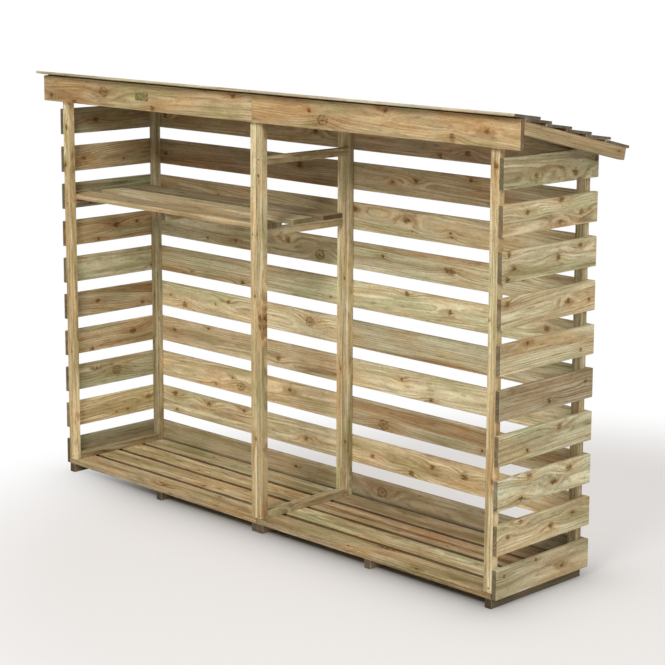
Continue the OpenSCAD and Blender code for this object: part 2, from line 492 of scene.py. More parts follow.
        # What each layer follows, where it starts and where it is full, its depth, and what it multiplies the colour by
        layers = (
            (clouds["Blotch"], (0.54, 0.32), stain, (0.97, 0.85, 0.71)),
            (clouds["Blotch"], (0.48, 0.68), stain, (0.79, 0.85, 0.73)),
            (strong, None, given["Ring Depth"], (0.50, 0.41, 0.30)),
            (heart_way, (0.008, -0.006), given["Heart Depth"], (0.77, 0.61, 0.47)),
            (streaks["Broad"], (0.60, 0.34), streak, (0.71, 0.63, 0.53)),
            (clouds["Mottle"], (0.58, 0.36), streak, (0.80, 0.76, 0.70)),
            (streaks["Fine"], (0.56, 0.34), streak, (0.74, 0.68, 0.60)),
            (streaks["Fleck"], (0.58, 0.74), streak, (0.68, 0.61, 0.54)),
            (streaks["Fine"], (0.52, 0.72), streak, (1.14, 1.13, 1.10)),
            (clouds["Speck"], (0.50, 0.32), streak, (0.83, 0.80, 0.75)),
            (clouds["Speck"], (0.54, 0.72), streak, (1.06, 1.06, 1.05)),
            (halo, None, 0.7, (0.84, 0.70, 0.55)),
            (core, None, 0.75, (0.55, 0.43, 0.32)),
            (dark, None, 0.85, (0.33, 0.26, 0.20)),
        )
        colour = tone.outputs["Color"]
        for value, rise, depth, shade in layers:
            mask = g.smooth(value, *rise) if rise else value
            colour = g.mix(g.times(mask, depth), colour, (*shade, 1.0), "MULTIPLY")
        rim = g.group(self.rim, Local=local, Half=g.attribute("half"), Width=RIM_WIDTH).outputs["Edge"]
        worn = g.times(rim, g.times(g.smooth(streaks["Fine"], 0.35, 0.6), given["Edge Depth"]))
        colour = g.mix(worn, colour, BARE_WOOD)
        # End grain, and the painted shade and dirt of long edges, darken by the end shade
        end = g.times(g.attribute("end", "Fac"), given["End Depth"])
        colour = g.mix(end, colour, given["End Shade"], "MULTIPLY")

        rough = g.line(clouds["Mottle"], 0.3, 0.6)
        grain = g.line(rings["Late"], 0.55, g.times(streaks["Fibre"], 0.5))
        height = g.plus(grain, g.line(core, 0.6, g.times(streaks["Fine"], 0.5)))
        effect.put(Colour=colour, Roughness=rough, Height=height)
        return effect.tree


def new_material(name: str) -> tuple[bpy.types.Material, Graph, bpy.types.NodeInputs]:
    """Make a material with a Principled shader.

    Args:
        name: the material's name.

    Returns:
        The material, its graph and the shader's inputs.
    """
    made = bpy.data.materials.new(name)
    made.use_nodes = True
    return made, Graph(made.node_tree), made.node_tree.nodes["Principled BSDF"].inputs


def new_object(name: str, bm: bmesh.types.BMesh) -> bpy.types.Object:
    """Turn a finished bmesh into an object of the scene.

    Args:
        name: name of the object and of its mesh.
        bm: the bmesh, which is freed.

    Returns:
        The object, at the origin.
    """
    mesh = bpy.data.meshes.new(name)
    bm.to_mesh(mesh)
    bm.free()
    made = bpy.data.objects.new(name, mesh)
    bpy.context.scene.collection.objects.link(made)
    return made


@dataclass(frozen=True)
class TimberFinish:
    """How one kind of timber is sawn, treated and weathered."""

    name: str
    slot: str
    ring_spacing: float = 0.0075
    ring_depth: float = 0.7
    streak_depth: float = 0.7
    heart_depth: float = 0.8
    stain_depth: float = 0.85
    end_depth: float = 0.85
    edge_depth: float = 0.35
    end_shade: str = "8e8882"
    gloss: float = 0.25
    bump: float = 0.35
    bump_depth: float = 0.0008

    def material(self, effects: TimberEffects) -> bpy.types.Material:
        """Make the material.

        Args:
            effects: the shared node groups.

        Returns:
            The material, which reads the attributes of the boards.
        """
        made, g, shader = new_material(self.name)
        face = g.group(effects.face, Ring_Spacing=self.ring_spacing, Ring_Depth=self.ring_depth,
                       Streak_Depth=self.streak_depth, Heart_Depth=self.heart_depth, Stain_Depth=self.stain_depth,
                       End_Depth=self.end_depth, Edge_Depth=self.edge_depth, End_Shade=screen(self.end_shade)).outputs
        bump = g.add("Bump")
        g.feed(bump.inputs["Strength"], self.bump)
        g.feed(bump.inputs["Distance"], self.bump_depth)
        g.feed(bump.inputs["Height"], face["Height"])
        g.feed(shader["Specular IOR Level"], self.gloss)
        g.feed(shader["Base Color"], face["Colour"])
        g.feed(shader["Roughness"], face["Roughness"])
        g.feed(shader["Normal"], bump.outputs[0])
        return made


@dataclass(frozen=True)
class MetalFinish:
    """A dull metal with a patchy tarnish, and how many patches a metre it has."""

    name: str
    clean: str
    tarnish: str
    metallic: float
    patch: float

    def material(self) -> bpy.types.Material:
        """Make the material.

        Returns:
            The material, drawn on Object coordinates.
        """
        made, g, shader = new_material(self.name)
        place = g.add("TexCoord").outputs["Object"]
        cloud = g.smooth(g.noise(place, (self.patch, self.patch, self.patch), 3.0), 0.35, 0.65)
        g.feed(shader["Metallic"], self.metallic)
        g.feed(shader["Base Color"], g.mix(cloud, screen(self.clean), screen(self.tarnish)))
        g.feed(shader["Roughness"], g.line(cloud, 0.25, 0.4))
        return made


@dataclass(frozen=True)
class Knot:
    """A knot on a board: its share of the length, its place from -1 to 1 over the width, its radius in metres."""

    along: float
    across: float
    radius: float


@dataclass(frozen=True)
class BoardLook:
    """What sets one board apart: tone, the pith's place and lean, knots, radius of its heartwood, and how pale it is.

    Edge shade and dirt is how dark its long edges are, as a share of its end grain: painted shade in the gaps between
    boards and under the roof, with some dirt. Foot shade is painted shade that darkens it towards its lower edge, and
    fade a painted shadow that darkens it towards its right end, as shares of its tone. Pale holds its own tone together
    with painted light and shade where it lies lit or in shade.
    """

    tone: Tone
    pith: tuple[float, float, float]
    knots: tuple[Knot, ...] = ()
    heart: float = 0.0
    pale: float = 1.0
    dirt: float = 0.0
    damp: float = 0.0
    fade: float = 0.0


def look(tone: Tone, *knots: tuple[float, float, float], pith: tuple[float, float, float], heart: float = 0.0,
         **shares: float) -> BoardLook:
    """Describe a board in short.

    Args:
        tone: its colour between the rings.
        *knots: share of the length, place over the width and radius in millimetres of each knot.
        pith: the pith's place across and through the board in millimetres, and its lean.
        heart: radius of its heartwood in millimetres.
        **shares: any of pale, dirt, damp and fade.

    Returns:
        The look.
    """
    across, through, lean = pith
    return BoardLook(tone, (across / 1000.0, through / 1000.0, lean),
                     tuple(Knot(u, v, r / 1000.0) for u, v, r in knots), heart / 1000.0, **shares)


# The boards that the photograph shows, each list from the lowest board up or from the front back
# A pale value holds a board's own tone together with painted light and shade where it lies lit or in shade
SHOWN_LOOKS: dict[str, tuple[BoardLook, ...]] = {
    "side_slats_right": (
        look(Tone.STRAW, (0.70, -0.2, 6), (0.08, 0.5, 6), (0.42, 0.85, 5), pith=(-20, -45, 0.02), pale=0.84),
        look(Tone.STRAW, (0.81, 0.3, 9), (0.57, -0.1, 10), (0.24, 0.85, 8), (0.11, 0.1, 8), pith=(30, -30, 0.03),
             pale=1.04),
        look(Tone.SAGE, (0.76, 0.5, 12.4), (0.59, -0.1, 12), (0.33, 0.74, 10), (0.24, -0.58, 8),
             pith=(-10, -25, -0.04), pale=1.38),
        look(Tone.MOSS, (0.64, 0.57, 10), (0.30, -0.4, 5), pith=(5, -18, 0.05), pale=1.18),
        look(Tone.DRAB, (0.92, 0.2, 6), (0.52, -0.45, 8), heart=28, pith=(38, -10, 0.0), pale=0.88),
        look(Tone.STRAW, (0.28, 0.75, 6), (0.85, -0.5, 5), pith=(45, -20, 0.01), pale=1.02),
        look(Tone.STRAW, (0.70, 0.0, 9), (0.06, 0.6, 9), (0.93, -0.2, 6), heart=14, pith=(0, -12, 0.06), pale=1.04),
        look(Tone.STRAW, (0.82, 0.63, 8), (0.58, 0.05, 10), (0.07, 0.8, 8), (0.06, -0.8, 8), (0.12, -0.1, 9),
             pith=(20, 30, 0.0), pale=0.96),
        look(Tone.STRAW, (0.25, 0.35, 9), (0.60, 0.85, 12), (0.82, -0.2, 9), (0.60, -0.67, 9), pith=(-30, -35, 0.02),
             pale=1.06),
        look(Tone.MOSS, (0.33, -0.36, 10), (0.745, -0.45, 12.4), (0.97, 0.2, 8), pith=(-20, -30, -0.04), pale=1.10),
    ),
    "side_slats_left": (
        look(Tone.OLIVE, pith=(-10, 60, 0.01), pale=0.62),
        look(Tone.TAN, (0.85, 0.2, 9), (0.62, -0.5, 5), (0.50, -0.55, 5), pith=(0, 30, 0.03), pale=1.42),
        look(Tone.MOSS, (0.51, 0.0, 13), (0.30, 0.5, 5), pith=(20, 25, -0.03), pale=1.16),
        look(Tone.TAN, (0.69, 0.1, 12), (0.25, -0.8, 8), heart=14, pith=(-30, 12, 0.03), pale=1.04),
        look(Tone.DRAB, (0.32, 0.1, 8), (0.80, -0.6, 9), heart=22, pith=(45, 8, -0.10), pale=1.14),
        look(Tone.MOSS, (0.90, -0.6, 5), pith=(0, 70, 0.0), pale=1.32),
        look(Tone.TAN, (0.53, 0.25, 12), (0.34, -0.75, 6), (0.75, 0.3, 6), heart=18, pith=(10, 12, 0.03), pale=1.12),
        look(Tone.SAGE, (0.40, -0.3, 8), pith=(30, 30, 0.0), pale=0.96),
        look(Tone.TAN, (0.20, 0.0, 12), (0.62, -0.4, 5), pith=(-10, 22, 0.05), pale=0.96),
        look(Tone.OLIVE, (0.33, 0.0, 10), (0.85, 0.5, 6), pith=(15, 20, 0.03), pale=0.80),
    ),
    "back_slats_left": (
        look(Tone.TAN, (0.75, 0.3, 6), pith=(-60, 20, 0.01), pale=0.86, damp=0.75),
        look(Tone.STRAW, (0.10, 0.65, 12), (0.29, 0.5, 10), (0.48, 0.7, 8), (0.11, -0.7, 5), (0.80, -0.2, 9),
             pith=(0, -40, 0.02), pale=1.30),
        look(Tone.TAN, (0.465, -0.35, 13), (0.33, -0.6, 5), (0.42, 0.2, 6), (0.72, 0.4, 8), pith=(10, -25, 0.04),
             pale=1.36),
        look(Tone.TAN, (0.10, 0.1, 9), (0.29, 0.85, 6), (0.66, -0.3, 9), heart=16, pith=(-40, -12, 0.03), pale=1.10),
        look(Tone.STRAW, (0.16, -0.55, 12), (0.33, 0.0, 6), (0.40, 0.4, 8), (0.82, 0.2, 13), (0.08, 0.0, 5),
             pith=(0, -20, -0.03), pale=1.36),
        look(Tone.OLIVE, (0.477, -0.75, 10), (0.20, -0.7, 5), (0.92, -0.5, 6), heart=14, pith=(-48, -6, 0.0),
             pale=1.36),
        look(Tone.OLIVE, (0.29, -0.6, 6), (0.44, -0.45, 6), (0.71, 0.35, 10), (0.866, -0.4, 14),
             pith=(10, -30, -0.02), pale=1.14),
        look(Tone.TAN, (0.465, -0.2, 9), (0.35, 0.1, 5), (0.90, -0.3, 12), heart=16, pith=(-20, -14, -0.05),
             pale=0.98),
        look(Tone.UMBER, (0.06, -0.1, 9), (0.77, 0.3, 12), heart=24, pith=(-42, -8, 0.0)),
        look(Tone.TAN, (0.27, 0.4, 8), (0.06, 0.0, 9), (0.845, 0.0, 10), pith=(0, -30, 0.02), pale=0.84),
    ),
    "back_slats_right": (
        look(Tone.DRAB, (0.165, 0.2, 14), (0.70, -0.3, 6), pith=(0, -60, 0.0), damp=0.75, fade=0.3, pale=0.82),
        look(Tone.TAN, (0.39, 0.2, 10), (0.297, -0.65, 10), (0.53, 0.1, 12), (0.12, -0.2, 9), pith=(-10, -16, -0.05),
             pale=1.34),
        look(Tone.DRAB, (0.17, -0.5, 14), (0.60, -0.6, 5), heart=22, pith=(18, -4, -0.015), pale=1.10),
        look(Tone.STRAW, (0.38, -0.75, 8), (0.25, 0.3, 6), (0.66, -0.2, 6), pith=(0, -24, 0.04), pale=1.26),
        look(Tone.OLIVE, (0.80, 0.4, 8), heart=24, pith=(-58, -6, 0.0)),
        look(Tone.OLIVE, (0.27, 0.75, 8), (0.457, 0.0, 9), (0.85, 0.2, 10), pith=(10, -18, 0.05), pale=1.42),
        look(Tone.OLIVE, (0.46, -0.05, 12), (0.44, 0.05, 9), (0.16, 0.3, 6), (0.75, 0.4, 8), heart=18,
             pith=(46, -6, -0.01), pale=1.08),
        look(Tone.STRAW, (0.263, 0.25, 12), (0.29, -0.5, 4), (0.455, -0.2, 5), (0.46, -0.5, 6), (0.03, 0.5, 10),
             pith=(5, -30, -0.04), pale=1.12),
        look(Tone.DRAB, (0.20, -0.1, 6), (0.305, 0.15, 8), (0.535, 0.75, 8), heart=18, pith=(-8, -9, -0.03),
             pale=1.40),
        look(Tone.UMBER, (0.405, -0.7, 8), (0.52, -0.4, 10), pith=(0, -30, 0.0), pale=0.98),
    ),
    "fascia_left": (
        look(Tone.SAND, (0.313, 0.15, 14), (0.16, -0.95, 12), (0.55, -0.75, 9), (0.92, 0.7, 9), (0.04, -0.5, 8),
             heart=20, pith=(-8, -16, 0.03), pale=0.90),
    ),
    "fascia_right": (
        look(Tone.SAND, (0.29, -0.35, 14), (0.235, 0.25, 9), (0.53, 0.7, 9), (0.77, -0.6, 10), (0.89, 0.05, 10),
             heart=15, pith=(20, -18, -0.04), pale=0.90),
    ),
    "front_post_left": (look(Tone.WHEAT, (0.90, 0.2, 9), (0.80, -0.4, 6), (0.30, 0.5, 5), heart=18,
                             pith=(-22, 10, 0.01), pale=1.40),),
    "front_post_left_inner": (look(Tone.WHEAT, (0.55, 0.6, 5), (0.20, 0.8, 6), pith=(70, 20, 0.004), pale=1.38),),
    "front_post_right_inner": (
        look(Tone.WHEAT, (0.84, -0.2, 5), (0.499, 0.5, 11), (0.478, 0.45, 9), (0.70, -0.6, 5), pith=(-70, 10, 0.006),
             pale=1.14),
    ),
    "front_post_right": (look(Tone.WHEAT, (0.93, 0.3, 9), (0.60, -0.8, 5), (0.25, 0.7, 8), pith=(-80, 10, -0.008),
                              pale=1.12),),
    "back_post_left": (look(Tone.OLIVE, (0.72, 0.2, 5), (0.30, -0.4, 5), pith=(-60, 20, 0.004), pale=0.98),),
    "back_post_right": (look(Tone.OLIVE, (0.45, 0.2, 5), pith=(60, 20, 0.004), pale=1.08),),
    "back_post_left_inner": (look(Tone.STRAW, (0.35, 0.5, 4), pith=(60, 20, 0.004), pale=1.44),),
    "back_post_right_inner": (look(Tone.OLIVE, (0.60, -0.3, 5), (0.15, 0.2, 5), pith=(-60, 20, 0.004), pale=1.30),),
    "bottom_rail_left": (look(Tone.WHEAT, pith=(60, 10, 0.01), pale=0.70),),
    "bottom_rail_centre": (look(Tone.WHEAT, (0.28, 0.5, 5), pith=(60, 10, 0.01), pale=0.94),),
    "top_rail_centre": (look(Tone.TAN, (0.35, 0.2, 4), pith=(60, 10, 0.01), pale=0.92),),
    "shelf_rail_centre": (look(Tone.WHEAT, pith=(60, 10, 0.01), pale=0.80),),
    "shelf_batten": (look(Tone.TAN, pith=(60, 10, 0.01), pale=0.66),),
    "deck_left": (
        look(Tone.TAN, (0.499, -0.32, 11), (0.47, -0.1, 7), (0.74, 0.6, 5), pith=(-30, -30, 0.01), dirt=0.5,
             pale=1.10),
        look(Tone.TAN, (0.60, -0.7, 8), (0.66, -0.4, 5), (0.18, 0.2, 5), heart=16, pith=(-20, -14, 0.02), dirt=0.95,
             pale=1.22),
        look(Tone.TAN, (0.44, -0.5, 5), (0.25, 0.4, 4), (0.85, 0.2, 6), pith=(10, -40, -0.01), dirt=0.95, pale=1.26),
        look(Tone.OLIVE, (0.93, -0.3, 7), (0.35, 0.3, 4), pith=(25, -25, 0.01), dirt=0.95, pale=1.24),
    ),
    "deck_right": (
        look(Tone.TAN, (0.48, 0.95, 11), (0.505, 0.88, 12), (0.53, 0.97, 10), (0.40, -0.6, 5), (0.70, -0.8, 6),
             pith=(-40, -20, 0.01), dirt=0.5, pale=1.02),
        look(Tone.OLIVE, (0.80, 0.3, 4), pith=(20, -60, 0.0), dirt=0.95, pale=1.34),
        look(Tone.ROSE, (0.62, -0.6, 4), heart=24, pith=(-8, -16, 0.0), dirt=0.95, pale=1.16, fade=0.65),
        look(Tone.UMBER, (0.30, 0.3, 5), (0.75, -0.2, 5), pith=(30, -25, 0.02), dirt=0.95, pale=1.06, fade=0.7),
    ),
    "shelf_board_front": (look(Tone.TAN, (0.30, -0.4, 6), (0.62, 0.5, 6), (0.88, -0.1, 5), heart=14,
                               pith=(-48, -4, 0.01), pale=1.06),),
    "shelf_board_middle": (look(Tone.STRAW, (0.45, 0.3, 6), pith=(10, -30, 0.02), dirt=0.6, pale=1.34),),
    "shelf_board_back": (look(Tone.TAN, (0.25, -0.3, 6), (0.70, 0.4, 5), pith=(-10, -25, -0.02), dirt=0.6,
                              pale=0.66),),
    "barge_rafter_right": (look(Tone.SAND, (0.93, 0.2, 4), pith=(60, 20, 0.01), pale=0.72),),
    # Low pale values paint the shade on the side rafters under the roof
    **{node: (look(Tone.DRAB, pith=(60, 20, 0.01), pale=0.56),)
       for node in ("side_rafter_left", "side_rafter_right")},
    # Low pale values paint the shade that these timbers lie in, most of all the bearers under the deck
    **{node: (look(Tone.UMBER, pith=(60, 10, 0.01), pale=pale),) for node, pale in (
        ("shelf_rail_left", 0.64), ("bottom_rail_right", 0.50),
        ("bearer_left_end", 0.46), ("bearer_left_middle", 0.32), ("bearer_left_inner", 0.58),
        ("bearer_right_inner", 0.56), ("bearer_right_middle", 0.54), ("bearer_right_end", 0.30),
    )},
}


@dataclass
class Board:
    """One timber of a node, with its own axes: along the grain, across the wide face, and through it."""

    middle: Vector
    along: Vector
    across: Vector
    through: Vector
    half: Vector

    def local(self, point: Vector) -> Vector:
        """Place of a point along, across and through the board, from its middle."""
        way = point - self.middle
        return Vector((way.dot(self.along), way.dot(self.across), way.dot(self.through)))

    def place(self, x: float, y: float, z: float) -> Vector:
        """Point of the frame at a place in the board."""
        return self.middle + self.along * x + self.across * y + self.through * z

    @classmethod
    def measure(cls, verts: Sequence[bmesh.types.BMVert]) -> "Board":
        """Find the axes and sizes of the timber that some vertices belong to.

        Args:
            verts: every vertex of the timber.

        Returns:
            The board, with its grain along its longest edge.
        """
        faces = {f.index: f for v in verts for f in v.link_faces}
        edges = {e.index: e for v in verts for e in v.link_edges}
        widest = max(faces.values(), key=lambda f: (round(f.calc_area(), 7), f.index))
        longest = max(edges.values(), key=lambda e: (round(e.calc_length(), 5), e.index))
        along = (longest.verts[1].co - longest.verts[0].co).normalized()
        if max(along, key=abs) < 0.0:
            along.negate()
        through = (widest.normal - along * widest.normal.dot(along)).normalized()
        across = through.cross(along).normalized()
        if max(across, key=abs) < 0.0:
            across.negate()
        through = along.cross(across)
        axes = (along, across, through)
        low = [min(v.co.dot(a) for v in verts) for a in axes]
        high = [max(v.co.dot(a) for v in verts) for a in axes]
        middle = sum((a * (l + h) / 2.0 for a, l, h in zip(axes, low, high)), Vector())
        return cls(middle, along, across, through, Vector([(h - l) / 2.0 for l, h in zip(low, high)]))


class BoardCutter:
    """Redraws a CAD node as finished boards in one new mesh."""

    # Angles in degrees: up to which faces are one, from which an edge is eased, and from which it is shaded sharp
    FLAT, SHARP, CREASE = 1.0, 60.0, 50.0
    # Distances in metres within which vertices are merged, and a cut takes in a vertex
    WELD, TOUCH = 1e-5, 1e-6
    # Cosine over which a face is turned the way of an axis
    FACING = 0.8
    # Waves a metre and level in the noise of a board's sway and of its bow, the bow's share, and the noise's width
    SWAY, BOW = (1.9, 2.5), (1.3, 7.5)
    BOW_SHARE, NOISE_WIDTH = 0.5, 60.0

    def __init__(self, node: str, cut: float, warp: float, ease: float) -> None:
        """Take a merged copy of the node's mesh, with a layer for each attribute.

        Args:
            node: the CAD node.
            cut: length between the cuts across a board, in metres.
            warp: how far a board strays from straight, in metres.
            ease: radius of the eased edges, in metres.
        """
        self.node, self.cut, self.warp, self.ease = node, cut, warp, ease
        self.bm = bmesh.new()
        self.bm.from_mesh(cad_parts[node].data)
        verts, faces = self.bm.verts.layers, self.bm.faces.layers
        self.vectors = {name: verts.float_vector.new(name) for name in ("local", "half", "seed", "pith", *KNOT_NAMES)}
        self.tone = verts.float_color.new("tone")
        self.end = faces.float.new("end")
        bmesh.ops.remove_doubles(self.bm, verts=self.bm.verts, dist=self.WELD)
        bmesh.ops.dissolve_limit(self.bm, angle_limit=math.radians(self.FLAT), verts=self.bm.verts, edges=self.bm.edges)
        for sequence in (self.bm.verts, self.bm.edges, self.bm.faces):
            sequence.index_update()

    @staticmethod
    def timber_of(start: bmesh.types.BMVert) -> list[bmesh.types.BMVert]:
        """Gather the vertices that edges join to one of them."""
        found, stack = {start}, [start]
        while stack:
            for edge in stack.pop().link_edges:
                for vert in edge.verts:
                    if vert not in found:
                        found.add(vert)
                        stack.append(vert)
        return sorted(found, key=lambda v: v.index)

    def timbers(self) -> list[tuple[Board, bmesh.types.BMVert]]:
        """List the timbers of the node from the ground up, front to back and left to right.

        Returns:
            Each timber's board, and one vertex of it.
        """
        left, found = {v.index: v for v in self.bm.verts}, []
        while left:
            verts = self.timber_of(left[min(left)])
            for vert in verts:
                del left[vert.index]
            found.append((Board.measure(verts), verts[0]))
        return sorted(found, key=lambda pair: [round(pair[0].middle[i], 3) for i in (2, 1, 0)])

    def shape(self, board: Board, start: bmesh.types.BMVert, chosen: BoardLook) -> None:
        """Ease a timber's sharp edges and cut it across, and along its lower edge where it has a painted foot shade.

        Args:
            board: the timber's axes and sizes.
            start: one vertex of it.
            chosen: its look.
        """
        verts = self.timber_of(start)
        edges = sorted({e for v in verts for e in v.link_edges}, key=lambda e: e.index)
        sharp = [e for e in edges if len(e.link_faces) == 2 and e.calc_face_angle() > math.radians(self.SHARP)]
        made = bmesh.ops.bevel(self.bm, geom=sharp, offset=self.ease, offset_type="OFFSET", segments=2, profile=0.5,
                               affect="EDGES", clamp_overlap=True, material=-1)
        self.bm.verts.index_update()
        verts = self.timber_of(made["verts"][0])
        pieces = max(2, round(2.0 * board.half.x / self.cut))
        cuts = [(board.place(board.half.x * (2.0 * step / pieces - 1.0), 0.0, 0.0), board.along)
                for step in range(1, pieces)]
        # Painted foot shade: two cuts along the lower edge carry its darkening
        if chosen.damp:
            cuts += [(board.place(0.0, at - board.half.y, 0.0), board.across) for at in (FOOT_SHADE_FULL, FOOT_SHADE_TOP)]
        for at, way in cuts:
            faces = {f for v in verts for f in v.link_faces}
            edges = {e for v in verts for e in v.link_edges}
            bmesh.ops.bisect_plane(self.bm, geom=[*verts, *edges, *faces], dist=self.TOUCH, plane_co=at, plane_no=way)
            self.bm.verts.index_update()
            verts = self.timber_of(verts[0])
        for face in {f for v in verts for f in v.link_faces}:
            # Long edges take the painted shade of the gaps, with some dirt, as a share of the end grain's darkness
            edge = chosen.dirt if abs(face.normal.dot(board.across)) > self.FACING else 0.0
            face[self.end] = 1.0 if abs(face.normal.dot(board.along)) > self.FACING else edge
            face.smooth = True
            face.material_index = 0
        self.verts = verts

    def write(self, board: Board, chosen: BoardLook, seed: Vector) -> None:
        """Write a timber's attributes and move its vertices off the straight.

        Args:
            board: the timber's axes and sizes.
            chosen: its look.
            seed: its own random place.
        """
        red, green, blue, _ = chosen.tone.paint
        stray = chosen.pale * (TONE_LEAST + TONE_RUN * seed.z)
        knots = [Vector(((2.0 * k.along - 1.0) * board.half.x, k.across * board.half.y, k.radius * KNOT_SPREAD))
                 for k in chosen.knots]
        for vert in self.verts:
            local = board.local(vert.co)
            values = {"local": local, "half": board.half, "seed": seed, "pith": chosen.pith}
            for i, name in enumerate(KNOT_NAMES):
                knot = knots[i] if i < len(knots) else None
                values[name] = Vector((local.x - knot.x, local.y - knot.y, knot.z)) if knot else NO_KNOT
            for name, value in values.items():
                vert[self.vectors[name]] = value
            # Painted shade in the tone: darker towards the lower edge by the foot shade
            low = min(max((FOOT_SHADE_TOP - local.y - board.half.y) / (FOOT_SHADE_TOP - FOOT_SHADE_FULL), 0.0), 1.0)
            # Painted shadow in the tone: darker towards the right end by the fade
            far = min(max((local.x / board.half.x - RIGHT_SHADE_START) / RIGHT_SHADE_RUN, 0.0), 1.0)
            shade = stray * (1.0 - chosen.damp * low) * (1.0 - chosen.fade * far)
            vert[self.tone] = (red * shade, green * shade, blue * shade, chosen.heart)
            sway, bow = (noise.noise(Vector((local.x * waves, at * self.NOISE_WIDTH, level))) * self.warp
                         for (waves, level), at in ((self.SWAY, seed.x), (self.BOW, seed.y)))
            vert.co += board.across * sway + board.through * (bow * self.BOW_SHARE)

    def finish(self, name: str) -> bpy.types.Object:
        """Put the boards into an object.

        Args:
            name: the object's name.

        Returns:
            The object, at the origin.
        """
        # The cuts leave the faces in an order that varies from run to run
        for place, face in enumerate(sorted(self.bm.faces, key=lambda f: sorted(v.index for v in f.verts))):
            face.index = place
        self.bm.faces.sort()
        made = new_object(name, self.bm)
        mesh = made.data
        wanted = {*self.vectors, "tone", "end", "sharp_face", "sharp_edge", "material_index"}
        for spare in [a.name for a in mesh.attributes if not (a.name in wanted or a.is_required or a.is_internal)]:
            mesh.attributes.remove(mesh.attributes[spare])
        mesh.set_sharp_from_angle(angle=math.radians(self.CREASE))
        made.modifiers.new("even_normals", "WEIGHTED_NORMAL").keep_sharp = True
        return made


def seed_for(*words: object) -> random.Random:
    """Random numbers that are the same in every run for the same words."""
    return random.Random(zlib.crc32("/".join(str(w) for w in words).encode()))


@dataclass
class TimberWork:
    """Timbers that are sawn, treated and fixed alike: the base of each sub-assembly."""

    nodes: tuple[str, ...]
    finish: TimberFinish
    tones: tuple[Tone, ...] = (Tone.TAN, Tone.OLIVE, Tone.STRAW, Tone.ROSE)
    knots_per_metre: float = 2.2
    most_knots: int = 4
    knot_radii: tuple[float, float] = (0.004, 0.0095)
    heart_share: float = 0.45
    most_heart: float = 0.06
    cut: float = 0.09
    warp: float = 0.0016
    ease: float = 0.0014
    pieces: list[bpy.types.Object] = field(default_factory=list)
    boards: dict[str, list[Board]] = field(default_factory=dict)

    def choose(self, node: str, index: int, board: Board) -> tuple[BoardLook, Vector]:
        """Choose how a board looks: as listed, or else at random.

        Args:
            node: the board's node.
            index: its place in the node.
            board: its axes and sizes.

        Returns:
            The look, and the board's random place.
        """
        pick = seed_for(node, index)
        seed = Vector((pick.random(), pick.random(), pick.random()))
        shown = SHOWN_LOOKS.get(node, ())
        if index < len(shown):
            return shown[index], seed
        side = pick.choice((-1.0, 1.0))
        pith = (pick.uniform(-0.7, 0.7) * board.half.y, side * pick.uniform(0.012, 0.05), pick.uniform(-0.05, 0.05))
        count = min(self.most_knots, round(2.0 * board.half.x * self.knots_per_metre * pick.uniform(0.5, 1.4)))
        knots = tuple(Knot((i + pick.uniform(0.15, 0.85)) / count, pick.uniform(-0.85, 0.85),
                           pick.uniform(*self.knot_radii)) for i in range(count))
        heart = pick.uniform(0.0, self.most_heart) if pick.random() < self.heart_share else 0.0
        return BoardLook(pick.choice(self.tones), pith, knots, heart), seed

    def build(self) -> None:
        """Redraw each node as boards."""
        for node in self.nodes:
            cutter = BoardCutter(node, self.cut, self.warp, self.ease)
            self.boards[node] = []
            for index, (board, start) in enumerate(cutter.timbers()):
                chosen, seed = self.choose(node, index, board)
                cutter.shape(board, start, chosen)
                cutter.write(board, chosen, seed)
                self.boards[node].append(board)
            piece = cutter.finish(node + "_timber")
            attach(piece, BODY)
            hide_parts(node)
            self.pieces.append(piece)

    def dress(self, effects: TimberEffects) -> None:
        """Give the pieces their finish.

        Args:
            effects: the shared node groups.
        """
        material = self.finish.material(effects)
        for piece in self.pieces:
            piece.data.materials.append(material)
            LOG.info("%s: %d faces, %s", piece.name, len(piece.data.polygons), self.finish.name)


@dataclass
class Base(TimberWork):
    """Bearers on the ground."""

    nodes: tuple[str, ...] = ("bearer_left_end", "bearer_left_middle", "bearer_left_inner", "bearer_right_inner",
                              "bearer_right_middle", "bearer_right_end")
    finish: TimberFinish = TimberFinish("bearer_timber", "treated_posts", ring_spacing=0.006, end_depth=0.7)


@dataclass
class Deck(TimberWork):
    """Floor boards with open gaps."""

    nodes: tuple[str, ...] = ("deck_left", "deck_right")
    # The end shade darkens the board ends, and the painted shade with some dirt on their long edges in the gaps
    finish: TimberFinish = TimberFinish("deck_timber", "treated_boards", ring_depth=0.95, streak_depth=1.0,
                                        heart_depth=0.7, stain_depth=1.0, edge_depth=0.0, end_shade="7c6449")


@dataclass
class PostFrame(TimberWork):
    """Posts and the rails between them."""

    nodes: tuple[str, ...] = (
        "front_post_left", "front_post_left_inner", "front_post_right_inner", "front_post_right",
        "back_post_left", "back_post_left_inner", "back_post_right_inner", "back_post_right",
        "bottom_rail_left", "bottom_rail_centre", "bottom_rail_right", "top_rail_centre",
        "shelf_rail_left", "shelf_rail_centre", "shelf_batten",
    )
    finish: TimberFinish = TimberFinish("post_timber", "treated_posts", ring_spacing=0.0062, ring_depth=1.0,
                                        streak_depth=1.0, stain_depth=0.8)


@dataclass
class Shelf(TimberWork):
    """Shelf boards of the left bay."""

    nodes: tuple[str, ...] = ("shelf_board_front", "shelf_board_middle", "shelf_board_back")
    finish: TimberFinish = TimberFinish("shelf_timber", "treated_boards", heart_depth=0.6)


@dataclass
class SideWalls(TimberWork):
    """Slats of the sides."""

    nodes: tuple[str, ...] = ("side_slats_left", "side_slats_right")
    finish: TimberFinish = TimberFinish("side_slat_timber", "treated_boards", ring_depth=0.85, streak_depth=0.85,
                                        heart_depth=0.6)


